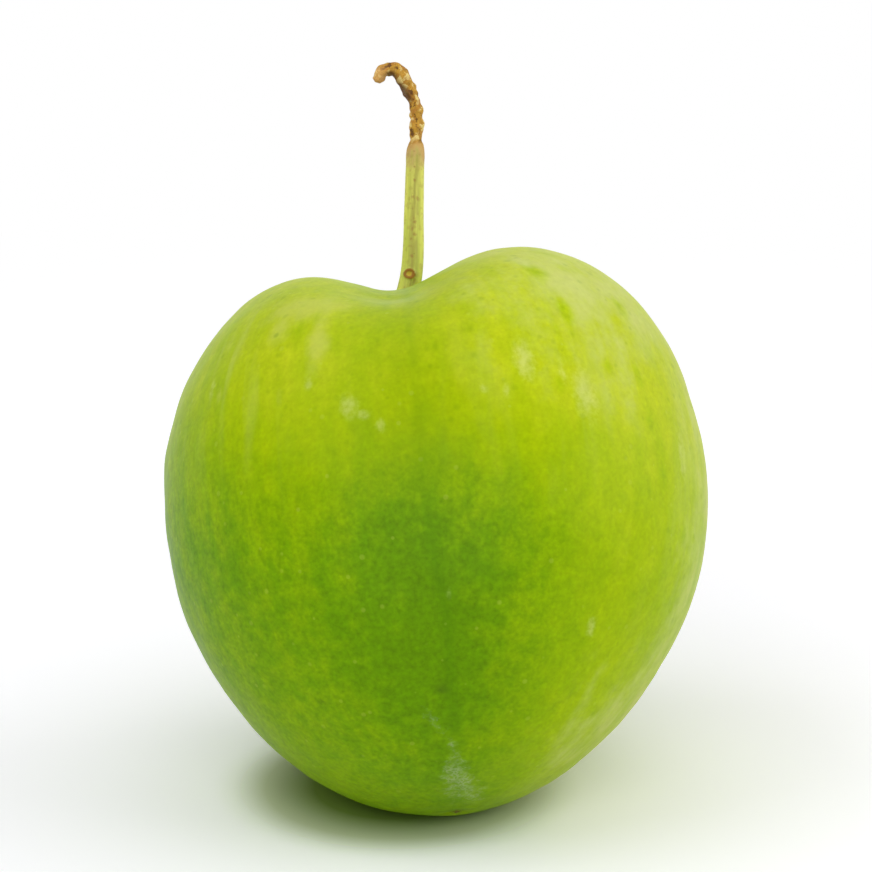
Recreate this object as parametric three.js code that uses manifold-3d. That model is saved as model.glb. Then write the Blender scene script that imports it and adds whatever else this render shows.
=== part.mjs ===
/**
 * Green plum, as picked: one whole fruit and its own stem.
 *
 * Millimetres, +Z up. The origin is the middle of the small flat spot that the fruit rests on.
 * The suture, the groove that runs from the stem down to the blossom end, faces -Y.
 *
 * Both pieces are shaped in the fruit's own axes, where Z runs from the core up through the
 * stem, and are then turned together into the pose in which the fruit rests.
 */
import * as THREE from "three";
import { mergeVertices } from "three/addons/utils/BufferGeometryUtils.js";
import Module from "manifold-3d";

// Flesh: a sphere drawn into a heart, wide above and narrow below.
const MEAN_RADIUS = 18.4;
const DEPTH_TO_WIDTH = 0.975;
const STRETCH = 0.042;
const HEART = -0.049;
const SQUARENESS = -0.015;
const SHOULDERS = -0.02;
const CHEEK_SKEW = 0.048; // the right cheek is the fuller one

// Belly: the side away from the suture is a little fuller low down.
const BELLY_HEIGHT = 0.05;
const BELLY_ANGLE = 2.3;
const BELLY_SPREAD = 0.5;

// Right shoulder: how far it stands above the left one, where, and how wide.
const LOBE_HEIGHT = 0.032;
const LOBE_ANGLE = 0.81;
const LOBE_SPREAD = 0.37;

// Cavity that the stem grows out of, and the flat seat at its floor.
const CAVITY_DEPTH = 0.262;
const CAVITY_ANGLE = 0.24;
const CAVITY_SHARPNESS = 1.5;
const SEAT_HEIGHT = 13.6;

// Suture: a furrow that runs out of the cavity and notches its rim, and a faint groove below.
const NOTCH_DEPTH = 0.184;
const NOTCH_ANGLE = 0.59;
const NOTCH_SPREAD_ABOVE = 0.9;
const NOTCH_SPREAD_BELOW = 0.33;
const GROOVE_DEPTH = 0.012;
const GROOVE_ANGLE = 1.6;
const GROOVE_SPREAD = 0.9;
const SUTURE_WIDTH = 0.29;

// Pose at rest: the fruit leans back and a little to its left, on a flat spot.
const LEAN_BACK = THREE.MathUtils.degToRad(32);
const LEAN_LEFT = THREE.MathUtils.degToRad(7.2);
const TURN = THREE.MathUtils.degToRad(2.5);
const FLAT_DEPTH = 0.9;

// Stem: a flared foot, a fresh shaft that thins a little, and a narrower end where it dried.
const FOOT_RADIUS = 0.85;
const FLARE_HEIGHT = 1.6;
const SHAFT_RADIUS = 0.77;
const SHAFT_END_RADIUS = 0.59;
const DRIED_RADIUS = 0.43;
const TIP_RADIUS = 0.36;
const DRIED_FROM = 0.6; // as shares of the stem's length
const DRIED_TO = 0.64;
const JOINT_GAP = 0.3;

// Stem's route above the seat: nearly straight, then hooked over to the left where it dried.
const STEM_ROUTE = [
  [0.15, 0, 0],
  [0.6, 0, 1.3],
  [1.0, 0, 2.8],
  [1.45, -0.1, 6.0],
  [2.0, -0.25, 10.2],
  [2.4, -0.45, 13.2],
  [2.2, -0.6, 14.8],
  [1.4, -0.8, 16.2],
  [0.6, -0.9, 16.25],
  [-0.05, -0.9, 15.55],
];

// Mesh density.
const FRUIT_SIDES = 64;
const FRUIT_RINGS = 38;
const RING_CROWDING = 1.25; // over 1 draws the rings together at the cavity
const GROUND_SIZE = 100;
const MERGE_DISTANCE = 0.001;
const STEM_SIDES = 12;
const STEM_STEPS = 44;

/** A bell of height 1 around `middle`. */
function bell(value, middle, spread) {
  return Math.exp(-(((value - middle) / spread) ** 2));
}

/** The flesh's radius, as a share of the mean one, before the groove and the cavity. */
function heart(polar, around) {
  const c = Math.cos(polar);
  const s = Math.sin(polar);
  const side = s * Math.sin(around);
  const behind = s * Math.max(0, -Math.cos(around));
  const lobe = LOBE_HEIGHT * bell(polar, LOBE_ANGLE, LOBE_SPREAD) * Math.sin(around);
  return (
    1 +
    (STRETCH * (3 * c ** 2 - 1)) / 2 +
    (HEART * (5 * c ** 3 - 3 * c)) / 2 +
    (SQUARENESS * (35 * c ** 4 - 30 * c ** 2 + 3)) / 8 +
    (SHOULDERS * (63 * c ** 5 - 70 * c ** 3 + 15 * c)) / 8 +
    lobe * Math.min(1, 4 * s) +
    CHEEK_SKEW * side * s ** 2 +
    BELLY_HEIGHT * bell(polar, BELLY_ANGLE, BELLY_SPREAD) * behind ** 2
  );
}

/** Depth of the suture, which lies on the front half only. */
function suture(polar, around) {
  const s = Math.sin(polar);
  const ahead = s * Math.max(0, Math.cos(around));
  const onFront = 1 - Math.exp(-((ahead / SUTURE_WIDTH) ** 2));
  const spread = polar < NOTCH_ANGLE ? NOTCH_SPREAD_ABOVE : NOTCH_SPREAD_BELOW;
  const depth =
    NOTCH_DEPTH * bell(polar, NOTCH_ANGLE, spread) +
    GROOVE_DEPTH * bell(polar, GROOVE_ANGLE, GROOVE_SPREAD);
  return depth * onFront * bell(s * Math.sin(around), 0, SUTURE_WIDTH);
}

/** Depth of the cavity around the stem. */
function cavity(polar) {
  return CAVITY_DEPTH * Math.exp(-((polar / CAVITY_ANGLE) ** CAVITY_SHARPNESS));
}

/** A point of the skin: `polar` from the stem, `around` from the suture towards +X. */
function skinPoint(polar, around) {
  const share = heart(polar, around) - suture(polar, around) - cavity(polar);
  const radius = MEAN_RADIUS * share;
  const out = radius * Math.sin(polar);
  const height = radius * Math.cos(polar);
  const inCavity = polar < CAVITY_ANGLE;
  return new THREE.Vector3(
    out * Math.sin(around),
    -out * Math.cos(around) * DEPTH_TO_WIDTH,
    inCavity ? Math.max(height, SEAT_HEIGHT) : height,
  );
}

/** Moves every vertex of a geometry to move(vertex). */
function reshape(geometry, move) {
  const position = geometry.getAttribute("position");
  const vertex = new THREE.Vector3();
  for (let i = 0; i < position.count; i += 1) {
    const moved = move(vertex.fromBufferAttribute(position, i));
    position.setXYZ(i, moved.x, moved.y, moved.z);
  }
  geometry.computeVertexNormals();
  return geometry;
}

/** The fruit, from a sphere whose poles lie on Z. */
function fruitGeometry() {
  const sphere = new THREE.SphereGeometry(1, FRUIT_SIDES, FRUIT_RINGS).rotateX(Math.PI / 2);
  return reshape(sphere, (v) => {
    const share = Math.acos(THREE.MathUtils.clamp(v.z, -1, 1)) / Math.PI;
    return skinPoint(Math.PI * share ** RING_CROWDING, Math.atan2(v.x, -v.y));
  });
}

/** Radius of the stem at a share of its length. */
function stemRadius(share, length) {
  const flare = (FOOT_RADIUS - SHAFT_RADIUS) * Math.exp(-(share * length) / FLARE_HEIGHT);
  const fresh = THREE.MathUtils.lerp(SHAFT_RADIUS, SHAFT_END_RADIUS, share / DRIED_FROM);
  const dried = THREE.MathUtils.mapLinear(share, DRIED_FROM, 1, DRIED_RADIUS, TIP_RADIUS);
  const dryness = THREE.MathUtils.smoothstep(share, DRIED_FROM, DRIED_TO);
  return flare + THREE.MathUtils.lerp(fresh, dried, dryness);
}

/** The stem, from an upright cylinder bent along its route. */
function stemGeometry() {
  const foot = new THREE.Vector3(0, 0, SEAT_HEIGHT + JOINT_GAP);
  const points = STEM_ROUTE.map((p) => new THREE.Vector3(...p).add(foot));
  const route = new THREE.CatmullRomCurve3(points, false, "centripetal");
  const length = route.getLength();
  const frames = route.computeFrenetFrames(STEM_STEPS);
  const cylinder = new THREE.CylinderGeometry(1, 1, 1, STEM_SIDES, STEM_STEPS);
  return reshape(cylinder, (v) => {
    const share = v.y + 0.5;
    const step = Math.round(share * STEM_STEPS);
    const radius = stemRadius(share, length);
    return route
      .getPointAt(share)
      .addScaledVector(frames.binormals[step], v.x * radius)
      .addScaledVector(frames.normals[step], v.z * radius);
  });
}

/** A closed geometry as a solid that can be cut. */
function solidOf(geometry) {
  const shell = geometry.clone();
  shell.deleteAttribute("normal");
  shell.deleteAttribute("uv");
  const merged = mergeVertices(shell, MERGE_DISTANCE);
  const vertProperties = merged.getAttribute("position").array;
  const triVerts = new Uint32Array(merged.index.array);
  return new wasm.Manifold(new wasm.Mesh({ numProp: 3, vertProperties, triVerts }));
}

/** A solid's surface as a geometry. */
function geometryOf(solid) {
  const mesh = solid.getMesh();
  const geometry = new THREE.BufferGeometry();
  geometry.setAttribute("position", new THREE.BufferAttribute(mesh.vertProperties, 3));
  geometry.setIndex(new THREE.BufferAttribute(mesh.triVerts, 1));
  geometry.computeVertexNormals();
  return geometry;
}

/** The fruit with what lies below a height cut away flat. */
function flattened(geometry, height) {
  const ground = new THREE.BoxGeometry(GROUND_SIZE, GROUND_SIZE, GROUND_SIZE);
  ground.translate(0, 0, height - GROUND_SIZE / 2);
  return geometryOf(solidOf(geometry).subtract(solidOf(ground)));
}

/** The middle of the flat spot, which is all of the geometry that lies at its lowest height. */
function spotOf(geometry) {
  geometry.computeBoundingBox();
  const height = geometry.boundingBox.min.z;
  const flat = new THREE.Box3();
  const position = geometry.getAttribute("position");
  for (let i = 0; i < position.count; i += 1) {
    const v = new THREE.Vector3().fromBufferAttribute(position, i);
    if (v.z < height + MERGE_DISTANCE) flat.expandByPoint(v);
  }
  return flat.getCenter(new THREE.Vector3()).setZ(height);
}

const wasm = await Module();
wasm.setup();

const pose = new THREE.Matrix4().makeRotationFromEuler(
  new THREE.Euler(-LEAN_BACK, -LEAN_LEFT, TURN, "YXZ"),
);
const whole = fruitGeometry().applyMatrix4(pose);
whole.computeBoundingBox();
const flesh = flattened(whole, whole.boundingBox.min.z + FLAT_DEPTH);
const stalk = stemGeometry().applyMatrix4(pose);
const spot = spotOf(flesh);
flesh.translate(-spot.x, -spot.y, -spot.z);
stalk.translate(-spot.x, -spot.y, -spot.z);

const greenSkin = new THREE.MeshStandardMaterial({
  color: 0x94b414,
  roughness: 0.42,
  metalness: 0,
});
const limeBark = new THREE.MeshStandardMaterial({
  color: 0xb9b83f,
  roughness: 0.7,
  metalness: 0,
});

const fruit = new THREE.Mesh(flesh, greenSkin);
fruit.name = "fruit";

const stem = new THREE.Mesh(stalk, limeBark);
stem.name = "stem";

const plum = new THREE.Group();
plum.add(fruit, stem);

export default plum;
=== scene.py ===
"""A green plum with its stem, resting on a pale floor.

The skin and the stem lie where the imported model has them. This script makes them again in the
same shapes, with all their fine relief, and gives them their materials.

Shapes are worked out in millimetres in the fruit's own axes, where Z runs up through the stem and
the suture faces -Y. `polar` is the angle from the stem, and `around` the angle from the suture
towards +X, both in radians. The last step turns the shapes into the pose at rest, in metres.

A swell is kept as (height, middle, spread), and random waves as (length, height, seed).
"""

import math

import bpy
import numpy as np
from mathutils import Matrix, Vector


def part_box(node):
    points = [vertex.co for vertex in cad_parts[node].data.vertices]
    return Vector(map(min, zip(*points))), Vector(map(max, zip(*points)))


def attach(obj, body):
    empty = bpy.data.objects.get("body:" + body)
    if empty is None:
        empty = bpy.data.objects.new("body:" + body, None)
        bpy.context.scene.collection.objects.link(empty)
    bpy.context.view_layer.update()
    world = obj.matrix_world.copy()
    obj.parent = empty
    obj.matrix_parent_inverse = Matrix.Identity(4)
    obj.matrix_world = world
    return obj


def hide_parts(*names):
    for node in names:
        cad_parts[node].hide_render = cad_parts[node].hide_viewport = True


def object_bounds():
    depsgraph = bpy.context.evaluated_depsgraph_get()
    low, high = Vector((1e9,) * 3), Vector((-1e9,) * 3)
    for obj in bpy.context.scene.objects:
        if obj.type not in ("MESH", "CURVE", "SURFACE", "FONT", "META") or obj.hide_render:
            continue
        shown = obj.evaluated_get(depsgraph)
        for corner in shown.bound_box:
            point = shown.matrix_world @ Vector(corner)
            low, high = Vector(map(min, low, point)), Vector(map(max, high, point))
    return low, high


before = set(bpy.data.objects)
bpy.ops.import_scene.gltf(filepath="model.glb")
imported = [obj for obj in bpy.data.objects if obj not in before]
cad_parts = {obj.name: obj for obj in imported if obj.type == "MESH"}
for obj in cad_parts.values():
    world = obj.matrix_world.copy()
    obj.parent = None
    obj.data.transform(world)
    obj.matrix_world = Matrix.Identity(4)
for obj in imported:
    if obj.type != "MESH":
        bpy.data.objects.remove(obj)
cad_low, cad_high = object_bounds()

MM = 0.001

# Flesh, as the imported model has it: a sphere drawn into a heart. Heights and depths are shares of
# the mean radius, and places and spreads are angles from the stem.
MEAN_RADIUS = 18.4
DEPTH_TO_WIDTH = 0.975
STRETCH = 0.042
HEART = -0.049
SQUARENESS = -0.015
SHOULDERS = -0.02
CHEEK_SKEW = 0.048  # the right cheek is the fuller one
BELLY = (0.05, 2.3, 0.5)
LOBE = (0.032, 0.81, 0.37)
CAVITY_DEPTH = 0.262
CAVITY_ANGLE = 0.24
CAVITY_SHARPNESS = 1.5
NOTCH_DEPTH = 0.184
NOTCH_ANGLE = 0.59
NOTCH_SPREADS = (0.9, 0.33)  # above that angle, and below it
GROOVE = (0.012, 1.6, 0.9)
SUTURE_WIDTH = 0.29
SEAT_HEIGHT = 13.6

# Pose at rest.
LEAN_BACK = math.radians(32)
LEAN_LEFT = math.radians(7.2)
TURN = math.radians(2.5)
GROUND_SOFTNESS = 0.12  # mm over which the skin rounds into its flat spot
FLESH_RINGS = 200  # points from end to end that the flesh is measured by
FLESH_SIDES = 300

# Fine relief of the skin, in millimetres, placed by the angle from the stem. What is beside the
# suture's line or at the blossom end is placed in millimetres from there.
SKIN_WAVES = [(11.0, 0.03, 3), (4.5, 0.018, 8), (1.9, 0.006, 21)]
CALM_CAVITY = (0.1, 0.3)  # where the waves set in
LINE_MIDDLE = 0.035  # where the suture's line lies, in `around`
LINE_WANDERS = [(0.018, 3.1, 0.0), (0.008, 9.0, 1.0)]  # reach, pace, start
LINE_STARTS = (0.3, 0.6)
CREASE = (0.06, 0, 0.28)
CREASE_LIPS = (0.02, 0, 1.2)
CREASE_DEEPENS = (1.7, 2.3)
CREASE_FADES = (2.5, 3.0)
PUCKERS = (0.09, 0.2, 0.1)
COLLAR = (0.32, 0.083, 0.022)  # the low ring that hugs the foot of the stem
FLOWER_POINT = (0.16, 0, 0.22)
FLOWER_DIMPLE = (0.14, 0, 0.75)
FLOWER_RIM = (0.03, 1.3, 0.4)

# Stem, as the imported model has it: its route above the seat, and its radii.
STEM_ROUTE = [
    (0.15, 0, 0),
    (0.6, 0, 1.3),
    (1.0, 0, 2.8),
    (1.45, -0.1, 6.0),
    (2.0, -0.25, 10.2),
    (2.4, -0.45, 13.2),
    (2.2, -0.6, 14.8),
    (1.4, -0.8, 16.2),
    (0.6, -0.9, 16.25),
    (-0.05, -0.9, 15.55),
]
FOOT_RADIUS = 0.85
FLARE_HEIGHT = 1.6
SHAFT_RADII = (0.77, 0.59)  # at the foot, and where the fresh part ends
DRIED_RADII = (0.43, 0.36)  # where the dried part starts, and at the tip
DRIED = (0.6, 0.64)  # shares of the length between which it narrows
JOINT_GAP = 0.3

# Fine relief of the stem, in millimetres, and places as shares of its length.
STEM_SINK = 0.35  # how far the foot goes on down into the flesh
FOOT_SWELL = (0.10, 0.75, 0.35)  # placed in millimetres from the foot
DRIED_LIP = (0.05, 0.58, 0.02)  # a share of the radius, and so are the next three
TIP_LIP = (0.06, 0.965, 0.02)
TIP_ROUNDING = (0.22, 1.0, 0.014)
UNEVENNESS = 0.2  # about how far the dried part's knobs and hollows go
SHRIVEL_TWIST = 1.3  # radians in each millimetre
BARK_WAVES = (2.2, 0.03, 5)
BARK_GRAIN = (0.6, 0.022, 6)
HOOK_FROM = 0.74  # where it starts to hook over
HOOK_DROP = 1.0  # how far below the hook's middle the point lies that its inside faces
HOOK_FULLNESS = (0.25, 0.84, 0.07)  # how far the inside of the bend stands out
END_BULGES = (0.1, 0.12)  # how far the middle of each end stands out

# The small round bud scar low on the front of the stem.
EYE_HEIGHT = 2.9
EYE_ASIDE = -0.08
EYE_RIM_SWELL = (0.09, 0.29, 0.12)
EYE_DIP = (0.05, 0, 0.16)
EYE_MIDDLE_EDGE = (0.12, 0.19)
EYE_RING_EDGE = (0.34, 0.41)
OUT_OF_REACH = 10  # mm added to distances on the side of the stem that faces away from it

# Mesh density of the finished pieces.
SKIN_SIDES = 384
SKIN_RINGS = 240
SUTURE_CROWDING = 0.45  # how far the columns draw together at the suture
POLE_CROWDING = 0.45  # how far the rings draw together at both ends
POLE_GAP = 1e-4  # angle that keeps the end points off the poles
STEM_SIDES = 48
STEM_STEPS = 320
ROUTE_DETAIL = 200  # fine points from one knot of the route to the next


# --- Curves and waves ---

WAVE_COUNT = 16
WAVE_PACES = (0.7, 1.4)


def bell(value, middle, spread):
    """A bell of height 1 around `middle`."""
    return np.exp(-(((value - middle) / spread) ** 2))


def swell(value, shape):
    """A bell given as (height, middle, spread)."""
    height, middle, spread = shape
    return height * bell(value, middle, spread)


def smooth(low, high, value):
    """0 up to `low`, 1 from `high`, and a smooth step between them."""
    t = np.clip((value - low) / (high - low), 0.0, 1.0)
    return t * t * (3 - 2 * t)


def plateau(rise, fall, value):
    """1 between a smooth step up and one down, each given as (from, to), and 0 outside."""
    return smooth(*rise, value) * (1 - smooth(*fall, value))


def wrapped(angle):
    """The same angle, counted from -pi to pi."""
    return (angle + math.pi) % (2 * math.pi) - math.pi


def waves(points, length, height, seed):
    """Smooth random swells about `length` across and `height` high, over points in millimetres."""
    rng = np.random.default_rng(seed)
    total = np.zeros(points.shape[:-1])
    for _ in range(WAVE_COUNT):
        way = rng.normal(size=3)
        way *= rng.uniform(*WAVE_PACES) / (np.linalg.norm(way) * length)
        total += np.sin(2 * math.pi * (points @ way + rng.uniform()))
    return total * height * math.sqrt(2 / WAVE_COUNT)


# --- Shape of the fruit ---


def heart(polar, around):
    """The flesh's radius, as a share of the mean one, before the groove and the cavity."""
    c, s = np.cos(polar), np.sin(polar)
    side = s * np.sin(around)
    behind = s * np.maximum(0, -np.cos(around))
    share = 1 + STRETCH * (3 * c**2 - 1) / 2
    share = share + HEART * (5 * c**3 - 3 * c) / 2
    share = share + SQUARENESS * (35 * c**4 - 30 * c**2 + 3) / 8
    share = share + SHOULDERS * (63 * c**5 - 70 * c**3 + 15 * c) / 8
    share = share + swell(polar, LOBE) * np.sin(around) * np.minimum(1, 4 * s)
    share = share + CHEEK_SKEW * side * s**2
    return share + swell(polar, BELLY) * behind**2


def suture(polar, around):
    """Depth of the suture, which lies on the front half only."""
    s = np.sin(polar)
    ahead = s * np.maximum(0, np.cos(around))
    on_front = 1 - np.exp(-((ahead / SUTURE_WIDTH) ** 2))
    spread = np.where(polar < NOTCH_ANGLE, *NOTCH_SPREADS)
    depth = NOTCH_DEPTH * bell(polar, NOTCH_ANGLE, spread) + swell(polar, GROOVE)
    return depth * on_front * bell(s * np.sin(around), 0, SUTURE_WIDTH)


def cavity(polar):
    """Depth of the cavity around the stem."""
    return CAVITY_DEPTH * np.exp(-((polar / CAVITY_ANGLE) ** CAVITY_SHARPNESS))


def skin_points(polar, around, raised=0.0):
    """Points of the skin, raised along the radius by so many millimetres."""
    radius = MEAN_RADIUS * (heart(polar, around) - suture(polar, around) - cavity(polar)) + raised
    out = radius * np.sin(polar)
    x = out * np.sin(around)
    y = -out * np.cos(around) * DEPTH_TO_WIDTH
    return np.stack([x, y, radius * np.cos(polar)], axis=-1)


def suture_line(polar):
    """Where the fine line of the suture runs, in `around`: it wanders a little."""
    line = LINE_MIDDLE
    for reach, pace, start in LINE_WANDERS:
        line = line + reach * np.sin(pace * polar + start)
    return line


def suture_offset(polar, around):
    """Distance along the skin from the suture's line, in millimetres."""
    return MEAN_RADIUS * np.sin(polar) * (around - suture_line(polar))


def crease(polar, around):
    """The suture's own fine line: a shallow crease between two faint lips, deepest low down."""
    aside = suture_offset(polar, around)
    reach = 0.4 + 0.6 * plateau(CREASE_DEEPENS, CREASE_FADES, polar)
    broken = 0.75 + 0.25 * np.sin(23 * polar + 3 * np.sin(7 * polar))
    section = swell(aside, CREASE_LIPS) - broken * swell(aside, CREASE)
    return smooth(*LINE_STARTS, polar) * reach * section


def puckers(polar, around):
    """Small folds of the skin that run down into the cavity."""
    folds = 0.6 * np.sin(9 * around + 0.7) + 0.4 * np.sin(15 * around + 2.0 + 3 * polar)
    return folds * swell(polar, PUCKERS)


def blossom_end(polar, around):
    """The dimple opposite the stem, with the dried point of the flower in it."""
    out = MEAN_RADIUS * (math.pi - polar)
    uneven = 1 + 0.25 * np.sin(3 * around + 1.0)
    return swell(out, FLOWER_POINT) - uneven * swell(out, FLOWER_DIMPLE) + swell(out, FLOWER_RIM)


def relief(polar, around):
    """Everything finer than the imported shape, in millimetres along the radius."""
    base = skin_points(polar, around)
    swells = sum(waves(base, *wave) for wave in SKIN_WAVES)
    ends = puckers(polar, around) + swell(polar, COLLAR) + blossom_end(polar, around)
    return swells * smooth(*CALM_CAVITY, polar) + crease(polar, around) + ends


# --- From the fruit's own axes to the frame ---


def rest_turn():
    """The turn from the fruit's own axes into its pose at rest."""
    lean = Matrix.Rotation(-LEAN_LEFT, 3, "Y") @ Matrix.Rotation(-LEAN_BACK, 3, "X")
    return np.array(lean @ Matrix.Rotation(TURN, 3, "Z"))


def rest_shift(turn):
    """The move, in millimetres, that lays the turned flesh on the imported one."""
    angles = np.linspace(0, math.pi, FLESH_RINGS), np.linspace(-math.pi, math.pi, FLESH_SIDES)
    polar, around = np.meshgrid(*angles)
    posed = skin_points(polar, around).reshape(-1, 3) @ turn.T
    low, high = (np.array(corner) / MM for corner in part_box("fruit"))
    shift = (low + high) / 2 - (posed.min(axis=0) + posed.max(axis=0)) / 2
    shift[2] = high[2] - posed[:, 2].max()
    return shift


REST_TURN = rest_turn()
REST_SHIFT = rest_shift(REST_TURN)


def at_rest(points):
    """Points in the fruit's own axes, moved to their place at rest, still in millimetres."""
    return points @ REST_TURN.T + REST_SHIFT


def on_ground(points):
    """Presses what would lie below the ground into a flat spot with a soft edge."""
    pressed = points.copy()
    height = points[:, 2]
    pressed[:, 2] = 0.5 * (height + np.sqrt(height**2 + GROUND_SOFTNESS**2))
    return pressed


# --- Mesh building ---


def tube_faces(rings, sides):
    """Faces of a closed skin: `rings` rings of `sides` points, then the first and last points."""
    first, last = rings * sides, rings * sides + 1
    faces = []
    for i in range(rings - 1):
        for j in range(sides):
            k = (j + 1) % sides
            faces.append((i * sides + j, (i + 1) * sides + j, (i + 1) * sides + k, i * sides + k))
    for j in range(sides):
        k = (j + 1) % sides
        faces.append((first, j, k))
        faces.append((last, (rings - 1) * sides + k, (rings - 1) * sides + j))
    return faces


def tube_map(rings, sides, rows, columns):
    """Texture corners for tube_faces: each ring's place up the map, and each column's across it."""
    corners = []
    for i in range(rings - 1):
        for j in range(sides):
            left, right = columns[j], columns[j + 1]
            top, bottom = rows[i], rows[i + 1]
            corners += [(left, top), (left, bottom), (right, bottom), (right, top)]
    for j in range(sides):
        left, right = columns[j], columns[j + 1]
        corners += [((left + right) / 2, 1.0), (left, rows[0]), (right, rows[0])]
        corners += [((left + right) / 2, 0.0), (right, rows[-1]), (left, rows[-1])]
    return np.array(corners)


def make_piece(name, points, faces, corners, values, vectors, material):
    """A smooth piece from points in millimetres, with a texture map and values at its points."""
    mesh = bpy.data.meshes.new(name)
    mesh.from_pydata((points * MM).tolist(), [], faces)
    mesh.uv_layers.new(name="OFBake").data.foreach_set("uv", corners.ravel())
    for key, value in values.items():
        mesh.attributes.new(key, "FLOAT", "POINT").data.foreach_set("value", value)
    for key, value in vectors.items():
        mesh.attributes.new(key, "FLOAT_VECTOR", "POINT").data.foreach_set("vector", value.ravel())
    mesh.polygons.foreach_set("use_smooth", [True] * len(mesh.polygons))
    mesh.materials.append(material)
    mesh.update()
    piece = bpy.data.objects.new(name, mesh)
    bpy.context.collection.objects.link(piece)
    return piece


# --- Marks on the skin ---

# Where the skin has turned from deep green to lime, as (way, strength, from, to): it turns between
# those two cosines of the angle between its own way and this one. Lime is also lighter, so this
# is partly ripeness and partly painted light and shade: lighter on top, on the right and at the
# bottom, where the light falls, and deeper green in front.
LIME_AND_LIGHT_TOP = ((-0.01, 0.30, 0.955), 0.85, -0.23, 0.67)
LIME_AND_LIGHT_CROWN = ((0.488, -0.054, 0.871), 0.9, 0.8, 0.96)
LIME_AND_LIGHT_RIGHT = ((0.977, 0.0, -0.214), 0.67, -0.02, 0.87)
LIME_AND_LIGHT_LEFT = ((-1.0, 0.0, 0.0), 0.2, 0.15, 0.55)
LIME_AND_LIGHT_BOTTOM = ((0.0, 0.0, -1.0), 0.27, 0.2, 0.85)
# the next one paints the top darker towards the left, as shade
TOP_FADE = ((-1.0, 0.0, 0.0), 0.25, 0.5, 0.85)  # takes lime from the top towards the left

# a deeper green in the cavity: partly its own colour, partly painted shade in the hollow
CAVITY_GREEN_AND_SHADE = (0.3, 0, 0.3)  # takes lime from the cavity

# Soft places on the skin, as (strength, polar, its spread, around, its spread).
# the right shoulder's thick pale bloom, which also stands for a painted sheen
SHOULDER_BLOOM_AND_SHEEN = (1.15, 0.9, 0.42, 0.92, 0.55)
BLOOM_LOW = (0.75, 2.6, 0.35, 1.4, 0.55)
BRUSHED_LEFT = (1.0, 1.05, 0.35, -0.75, 0.45)
BRUSHED_RIGHT = (1.0, 1.2, 0.4, 0.75, 0.45)
BRUSHED_CHEEK = (0.8, 1.6, 0.5, 1.35, 0.4)
BLOOM_STARTS = (0.3, 0.6)  # angles from the stem
BLOOM_ENDS = (2.75, 3.08)
# the right side's bloom also stands for a painted sheen along that edge
BLOOM_AND_SHEEN_EDGE = 0.95  # where the right side's bloom starts, in `around`

# The suture's line and its painted shade, the stem's ring and the flower's point, in millimetres
# from their middles.
FRONT = (0.3, 0.6)  # cosines of `around` between which the back gives way to the front
SUTURE_SHADE_REACH = 4.0
LINE_REACH = 0.42
LINE_FAINTEST = 0.35
LINE_LOW_DOWN = (0.65, 2.15, 0.4)  # the strength that is added low down
STALK_RING = (1.3, 0.3)
FLOWER_POINT_REACH = 0.34

# Dabs of wax, as (polar, around, width, height, strength), their sizes in millimetres. Those along
# the lit shoulders also stand for painted glints.
WAX_DABS_AND_GLINTS = [
    (1.24, 0.44, 1.1, 2.2, 0.9),
    (1.37, 0.66, 1.4, 2.6, 0.9),
    (1.29, 0.58, 0.5, 1.6, 0.5),
    (1.55, 1.16, 0.8, 2.4, 0.8),
    (1.44, 1.22, 0.5, 1.4, 0.5),
    (1.35, 0.35, 0.5, 0.7, 0.7),
    (1.34, 0.27, 0.5, 0.6, 0.6),
    (2.06, 0.065, 0.4, 0.7, 0.5),
    (1.34, -0.23, 1.1, 1.3, 0.8),
    (1.38, -0.18, 0.9, 0.7, 0.6),
    (1.43, -0.12, 0.6, 0.8, 0.6),
    (1.22, -0.39, 0.6, 0.8, 0.6),
    (1.13, -0.91, 0.5, 1.4, 0.6),
    (0.67, -1.29, 0.5, 1.1, 0.6),
    (2.2, 0.73, 0.7, 1.2, 0.6),
    (1.1, 2.6, 0.8, 1.9, 0.8),
    (1.45, -2.2, 0.7, 1.8, 0.7),
    (1.9, 3.0, 0.9, 1.1, 0.6),
]

# Veils of bloom that hang down from the left shoulder, and two behind, in the same form. Those on
# the left shoulder are also a painted highlight.
VEILS_AND_HIGHLIGHTS = [
    (0.84, -0.46, 5.4, 3.0, 1.0),
    (1.05, -0.36, 1.3, 4.6, 1.0),
    (0.94, -0.56, 1.5, 2.8, 0.8),
    (1.25, -0.52, 0.6, 1.4, 0.5),
    (0.93, -0.88, 1.0, 2.6, 0.5),
    (1.16, -0.85, 0.6, 1.5, 0.5),
    (0.85, 2.2, 1.4, 4.5, 0.8),
    (1.05, -2.6, 1.2, 4.0, 0.7),
]

# Places where the bloom is rubbed off down to the green, in the same form.
RUBBED = [
    (0.85, 0.66, 1.0, 1.0, 0.9),
    (1.05, 0.68, 0.8, 1.5, 0.9),
    (1.0, 1.02, 0.8, 1.2, 0.8),
    (1.26, 0.79, 0.5, 0.9, 0.8),
    (1.29, 0.94, 0.5, 1.2, 1.0),
    (1.44, 0.95, 0.5, 1.3, 0.8),
    (1.63, 1.01, 0.5, 1.4, 0.8),
    (1.82, 1.18, 0.6, 0.7, 0.8),
    (1.34, 0.56, 0.5, 0.8, 0.7),
    (0.98, -0.47, 0.7, 2.0, 0.7),
    (1.2, 2.1, 0.6, 1.4, 0.8),
    (1.5, -2.9, 0.7, 1.2, 0.8),
]

# Small dark flecks in the skin, in the same form.
FLECKS = [
    (2.43, 0.0, 0.7, 0.55, 1.0),
    (2.4, -0.68, 0.35, 0.3, 0.8),
    (1.2, 1.75, 0.4, 0.4, 0.8),
    (1.7, -2.5, 0.4, 0.5, 0.9),
    (2.1, 2.7, 0.3, 0.4, 0.8),
]

PATCH_SHARPNESS = 0.7
PATCH_LIMIT = 1.2  # how far round the fruit a patch may reach

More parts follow.
